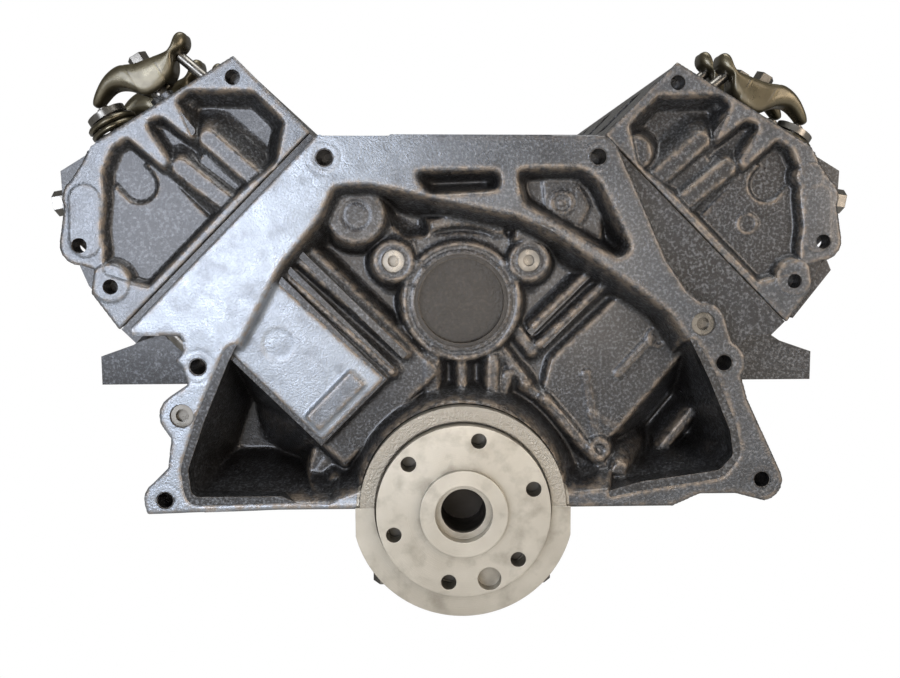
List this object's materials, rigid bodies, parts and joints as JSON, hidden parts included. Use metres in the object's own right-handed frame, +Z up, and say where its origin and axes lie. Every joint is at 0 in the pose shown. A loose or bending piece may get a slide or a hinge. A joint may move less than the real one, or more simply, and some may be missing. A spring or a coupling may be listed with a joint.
{
  "type": "engine long block",
  "caption": "Ninety-degree overhead-valve V engine long block with open rocker gear, crankshaft flange, rear bell housing face and working crank, cam and valves.",
  "frame": {"origin": "on the crankshaft axis, in the face of the flange that the flywheel seats on", "axes": "+Z up, +Y along the crankshaft towards the timing end, +X towards the right-hand bank as seen from the flywheel"},
  "size_m": [0.595, 0.6438, 0.4409],
  "materials": {
    "iron": "oily dark casting",
    "machined_iron": "machined grey face",
    "forged": "oiled steel",
    "spring": "olive oil-coated spring steel",
    "rocker": "olive phosphate coating",
    "alloy": "cast aluminium",
    "bearing": "bearing metal and gasket",
    "seal": "oil seal rubber"
  },
  "bodies": {
    "block": {"engine_block": "iron", "cylinder_head_left": "iron", "cylinder_head_right": "iron", "head_gaskets": "bearing", "head_bolts": "forged", "main_bearing_caps": "iron", "rear_main_cap": "machined_iron", "main_cap_bolts": "forged", "main_bearing_shells": "bearing", "rear_main_seal": "seal", "cam_bearings": "bearing", "cam_plug": "iron", "block_plugs": "forged", "rocker_fulcrums": "forged", "valve_springs": "spring", "closed_rockers": "rocker", "closed_valves": "forged", "closed_pushrods": "forged"},
    "crank": {"crankshaft": "machined_iron", "crank_sprocket": "forged", "chain_on_crank": "forged"},
    "cam": {"camshaft": "forged", "cam_sprocket": "forged", "chain_on_cam": "forged"},
    "chain_left": {"chain_run_left": "forged"},
    "chain_right": {"chain_run_right": "forged"},
    "rod_1": {"rod_1": "forged"},
    "piston_1": {"piston_1": "alloy"},
    "rod_2": {"rod_2": "forged"},
    "piston_2": {"piston_2": "alloy"},
    "rod_3": {"rod_3": "forged"},
    "piston_3": {"piston_3": "alloy"},
    "rod_4": {"rod_4": "forged"},
    "piston_4": {"piston_4": "alloy"},
    "rod_5": {"rod_5": "forged"},
    "piston_5": {"piston_5": "alloy"},
    "rod_6": {"rod_6": "forged"},
    "piston_6": {"piston_6": "alloy"},
    "rod_7": {"rod_7": "forged"},
    "piston_7": {"piston_7": "alloy"},
    "rod_8": {"rod_8": "forged"},
    "piston_8": {"piston_8": "alloy"},
    "intake_pushrod_2": {"intake_pushrod_2": "forged"},
    "intake_rocker_2": {"intake_rocker_2": "rocker"},
    "intake_valve_2": {"intake_valve_2": "forged"},
    "exhaust_pushrod_3": {"exhaust_pushrod_3": "forged"},
    "exhaust_rocker_3": {"exhaust_rocker_3": "rocker"},
    "exhaust_valve_3": {"exhaust_valve_3": "forged"},
    "intake_pushrod_4": {"intake_pushrod_4": "forged"},
    "intake_rocker_4": {"intake_rocker_4": "rocker"},
    "intake_valve_4": {"intake_valve_4": "forged"},
    "intake_pushrod_6": {"intake_pushrod_6": "forged"},
    "intake_rocker_6": {"intake_rocker_6": "rocker"},
    "intake_valve_6": {"intake_valve_6": "forged"},
    "exhaust_pushrod_7": {"exhaust_pushrod_7": "forged"},
    "exhaust_rocker_7": {"exhaust_rocker_7": "rocker"},
    "exhaust_valve_7": {"exhaust_valve_7": "forged"},
    "exhaust_pushrod_8": {"exhaust_pushrod_8": "forged"},
    "exhaust_rocker_8": {"exhaust_rocker_8": "rocker"},
    "exhaust_valve_8": {"exhaust_valve_8": "forged"}
  },
  "joints": [
    {"name": "crank_turn", "type": "hinge", "parent": "block", "child": "crank", "pos_m": [0, 0.29375, 0], "axis": [0, -1, 0], "range_deg": [-15, 15]},
    {"name": "cam_turn", "type": "hinge", "parent": "block", "child": "cam", "pos_m": [0, 0.29375, 0.147], "axis": [0, -1, 0], "range_deg": [-7.5, 7.5]},
    {"name": "chain_slide_left", "type": "slide", "parent": "block", "child": "chain_left", "axis": [-0.1955, 0, 0.9807], "range_m": [-0.00758, 0.00758]},
    {"name": "chain_slide_right", "type": "slide", "parent": "block", "child": "chain_right", "axis": [0.1955, 0, 0.9807], "range_m": [-0.00758, 0.00758]},
    {"name": "crankpin_1", "type": "hinge", "parent": "crank", "child": "rod_1", "pos_m": [0, 0.4935, 0.0489], "axis": [0, -1, 0], "range_deg": [-18.16, 18.16]},
    {"name": "wrist_pin_1", "type": "hinge", "parent": "rod_1", "child": "piston_1", "pos_m": [0.14024, 0.4935, 0.14104], "axis": [0, -1, 0], "range_deg": [-3.16, 3.16]},
    {"name": "crankpin_2", "type": "hinge", "parent": "crank", "child": "rod_2", "pos_m": [-0.0489, 0.369, 0], "axis": [0, -1, 0], "range_deg": [-11.84, 11.84]},
    {"name": "wrist_pin_2", "type": "hinge", "parent": "rod_2", "child": "piston_2", "pos_m": [0.09134, 0.369, 0.09214], "axis": [0, -1, 0], "range_deg": [-3.16, 3.16]},
    {"name": "crankpin_3", "type": "hinge", "parent": "crank", "child": "rod_3", "pos_m": [0.0489, 0.2445, 0], "axis": [0, -1, 0], "range_deg": [-18.16, 18.16]},
    {"name": "wrist_pin_3", "type": "hinge", "parent": "rod_3", "child": "piston_3", "pos_m": [0.14104, 0.2445, 0.14024], "axis": [0, -1, 0], "range_deg": [-3.16, 3.16]},
    {"name": "crankpin_4", "type": "hinge", "parent": "crank", "child": "rod_4", "pos_m": [0, 0.12, -0.0489], "axis": [0, -1, 0], "range_deg": [-11.84, 11.84]},
    {"name": "wrist_pin_4", "type": "hinge", "parent": "rod_4", "child": "piston_4", "pos_m": [0.09214, 0.12, 0.09134], "axis": [0, -1, 0], "range_deg": [-3.16, 3.16]},
    {"name": "crankpin_5", "type": "hinge", "parent": "crank", "child": "rod_5", "pos_m": [0, 0.4675, 0.0489], "axis": [0, -1, 0], "range_deg": [-18.16, 18.16]},
    {"name": "wrist_pin_5", "type": "hinge", "parent": "rod_5", "child": "piston_5", "pos_m": [-0.14024, 0.4675, 0.14104], "axis": [0, -1, 0], "range_deg": [-3.16, 3.16]},
    {"name": "crankpin_6", "type": "hinge", "parent": "crank", "child": "rod_6", "pos_m": [-0.0489, 0.343, 0], "axis": [0, -1, 0], "range_deg": [-18.16, 18.16]},
    {"name": "wrist_pin_6", "type": "hinge", "parent": "rod_6", "child": "piston_6", "pos_m": [-0.14104, 0.343, 0.14024], "axis": [0, -1, 0], "range_deg": [-3.16, 3.16]},
    {"name": "crankpin_7", "type": "hinge", "parent": "crank", "child": "rod_7", "pos_m": [0.0489, 0.2185, 0], "axis": [0, -1, 0], "range_deg": [-11.84, 11.84]},
    {"name": "wrist_pin_7", "type": "hinge", "parent": "rod_7", "child": "piston_7", "pos_m": [-0.09134, 0.2185, 0.09214], "axis": [0, -1, 0], "range_deg": [-3.16, 3.16]},
    {"name": "crankpin_8", "type": "hinge", "parent": "crank", "child": "rod_8", "pos_m": [0, 0.094, -0.0489], "axis": [0, -1, 0], "range_deg": [-11.84, 11.84]},
    {"name": "wrist_pin_8", "type": "hinge", "parent": "rod_8", "child": "piston_8", "pos_m": [-0.09214, 0.094, 0.09134], "axis": [0, -1, 0], "range_deg": [-3.16, 3.16]},
    {"name": "intake_lifter_slide_2", "type": "slide", "parent": "block", "child": "intake_pushrod_2", "axis": [0.7071, 0, 0.7071], "range_m": [-0.00077, 0.00077]},
    {"name": "intake_rocker_pivot_2", "type": "hinge", "parent": "block", "child": "intake_rocker_2", "pos_m": [0.23052, 0.395, 0.31537], "axis": [0, 1, 0], "range_deg": [-1.58, 1.58]},
    {"name": "intake_valve_slide_2", "type": "slide", "parent": "block", "child": "intake_valve_2", "axis": [-0.515, 0, -0.8572], "range_m": [-0.00113, 0.00113]},
    {"name": "exhaust_lifter_slide_3", "type": "slide", "parent": "block", "child": "exhaust_pushrod_3", "axis": [0.7071, 0, 0.7071], "range_m": [-0.00131, 0.00131]},
    {"name": "exhaust_rocker_pivot_3", "type": "hinge", "parent": "block", "child": "exhaust_rocker_3", "pos_m": [0.23122, 0.2185, 0.30476], "axis": [0, 1, 0], "range_deg": [-2.7, 2.7]},
    {"name": "exhaust_valve_slide_3", "type": "slide", "parent": "block", "child": "exhaust_valve_3", "axis": [-0.515, 0, -0.8572], "range_m": [-0.00196, 0.00196]},
    {"name": "intake_lifter_slide_4", "type": "slide", "parent": "block", "child": "intake_pushrod_4", "axis": [0.7071, 0, 0.7071], "range_m": [-0.00053, 0.00053]},
    {"name": "intake_rocker_pivot_4", "type": "hinge", "parent": "block", "child": "intake_rocker_4", "pos_m": [0.23052, 0.146, 0.31537], "axis": [0, 1, 0], "range_deg": [-1.1, 1.1]},
    {"name": "intake_valve_slide_4", "type": "slide", "parent": "block", "child": "intake_valve_4", "axis": [-0.515, 0, -0.8572], "range_m": [-0.0008, 0.0008]},
    {"name": "intake_lifter_slide_6", "type": "slide", "parent": "block", "child": "intake_pushrod_6", "axis": [-0.7071, 0, 0.7071], "range_m": [-0.0013, 0.0013]},
    {"name": "intake_rocker_pivot_6", "type": "hinge", "parent": "block", "child": "intake_rocker_6", "pos_m": [-0.23052, 0.317, 0.31537], "axis": [0, -1, 0], "range_deg": [-2.68, 2.68]},
    {"name": "intake_valve_slide_6", "type": "slide", "parent": "block", "child": "intake_valve_6", "axis": [0.515, 0, -0.8572], "range_m": [-0.00194, 0.00194]},
    {"name": "exhaust_lifter_slide_7", "type": "slide", "parent": "block", "child": "exhaust_pushrod_7", "axis": [-0.7071, 0, 0.7071], "range_m": [-0.00064, 0.00064]},
    {"name": "exhaust_rocker_pivot_7", "type": "hinge", "parent": "block", "child": "exhaust_rocker_7", "pos_m": [-0.23122, 0.2445, 0.30476], "axis": [0, -1, 0], "range_deg": [-1.32, 1.32]},
    {"name": "exhaust_valve_slide_7", "type": "slide", "parent": "block", "child": "exhaust_valve_7", "axis": [0.515, 0, -0.8572], "range_m": [-0.00094, 0.00094]},
    {"name": "exhaust_lifter_slide_8", "type": "slide", "parent": "block", "child": "exhaust_pushrod_8", "axis": [-0.7071, 0, 0.7071], "range_m": [-0.00067, 0.00067]},
    {"name": "exhaust_rocker_pivot_8", "type": "hinge", "parent": "block", "child": "exhaust_rocker_8", "pos_m": [-0.23122, 0.12, 0.30476], "axis": [0, -1, 0], "range_deg": [-1.37, 1.37]},
    {"name": "exhaust_valve_slide_8", "type": "slide", "parent": "block", "child": "exhaust_valve_8", "axis": [0.515, 0, -0.8572], "range_m": [-0.00101, 0.00101]}
  ],
  "couplings": [
    {"joint": "cam_turn", "follows": "crank_turn", "ratio": 0.5},
    {"joint": "chain_slide_left", "follows": "crank_turn", "m_per_rad": -0.028935},
    {"joint": "chain_slide_right", "follows": "crank_turn", "m_per_rad": 0.028935},
    {"joint": "crankpin_1", "follows": "crank_turn", "ratio": -1.2104},
    {"joint": "wrist_pin_1", "follows": "crank_turn", "ratio": 0.21043},
    {"joint": "crankpin_2", "follows": "crank_turn", "ratio": -0.78957},
    {"joint": "wrist_pin_2", "follows": "crank_turn", "ratio": -0.21043},
    {"joint": "crankpin_3", "follows": "crank_turn", "ratio": -1.2104},
    {"joint": "wrist_pin_3", "follows": "crank_turn", "ratio": 0.21043},
    {"joint": "crankpin_4", "follows": "crank_turn", "ratio": -0.78957},
    {"joint": "wrist_pin_4", "follows": "crank_turn", "ratio": -0.21043},
    {"joint": "crankpin_5", "follows": "crank_turn", "ratio": -1.2104},
    {"joint": "wrist_pin_5", "follows": "crank_turn", "ratio": 0.21043},
    {"joint": "crankpin_6", "follows": "crank_turn", "ratio": -1.2104},
    {"joint": "wrist_pin_6", "follows": "crank_turn", "ratio": 0.21043},
    {"joint": "crankpin_7", "follows": "crank_turn", "ratio": -0.78957},
    {"joint": "wrist_pin_7", "follows": "crank_turn", "ratio": -0.21043},
    {"joint": "crankpin_8", "follows": "crank_turn", "ratio": -0.78957},
    {"joint": "wrist_pin_8", "follows": "crank_turn", "ratio": -0.21043},
    {"joint": "intake_lifter_slide_2", "follows": "crank_turn", "m_per_rad": -0.0029389},
    {"joint": "intake_rocker_pivot_2", "follows": "crank_turn", "ratio": -0.10562},
    {"joint": "intake_valve_slide_2", "follows": "crank_turn", "m_per_rad": -0.0043047},
    {"joint": "exhaust_lifter_slide_3", "follows": "crank_turn", "m_per_rad": -0.0049997},
    {"joint": "exhaust_rocker_pivot_3", "follows": "crank_turn", "ratio": -0.17967},
    {"joint": "exhaust_valve_slide_3", "follows": "crank_turn", "m_per_rad": -0.0074794},
    {"joint": "intake_lifter_slide_4", "follows": "crank_turn", "m_per_rad": -0.0020337},
    {"joint": "intake_rocker_pivot_4", "follows": "crank_turn", "ratio": -0.073084},
    {"joint": "intake_valve_slide_4", "follows": "crank_turn", "m_per_rad": -0.0030693},
    {"joint": "intake_lifter_slide_6", "follows": "crank_turn", "m_per_rad": 0.0049726},
    {"joint": "intake_rocker_pivot_6", "follows": "crank_turn", "ratio": 0.1787},
    {"joint": "intake_valve_slide_6", "follows": "crank_turn", "m_per_rad": 0.0074224},
    {"joint": "exhaust_lifter_slide_7", "follows": "crank_turn", "m_per_rad": 0.0024494},
    {"joint": "exhaust_rocker_pivot_7", "follows": "crank_turn", "ratio": 0.088026},
    {"joint": "exhaust_valve_slide_7", "follows": "crank_turn", "m_per_rad": 0.0035801},
    {"joint": "exhaust_lifter_slide_8", "follows": "crank_turn", "m_per_rad": 0.0025502},
    {"joint": "exhaust_rocker_pivot_8", "follows": "crank_turn", "ratio": 0.091647},
    {"joint": "exhaust_valve_slide_8", "follows": "crank_turn", "m_per_rad": 0.0038485}
  ]
}
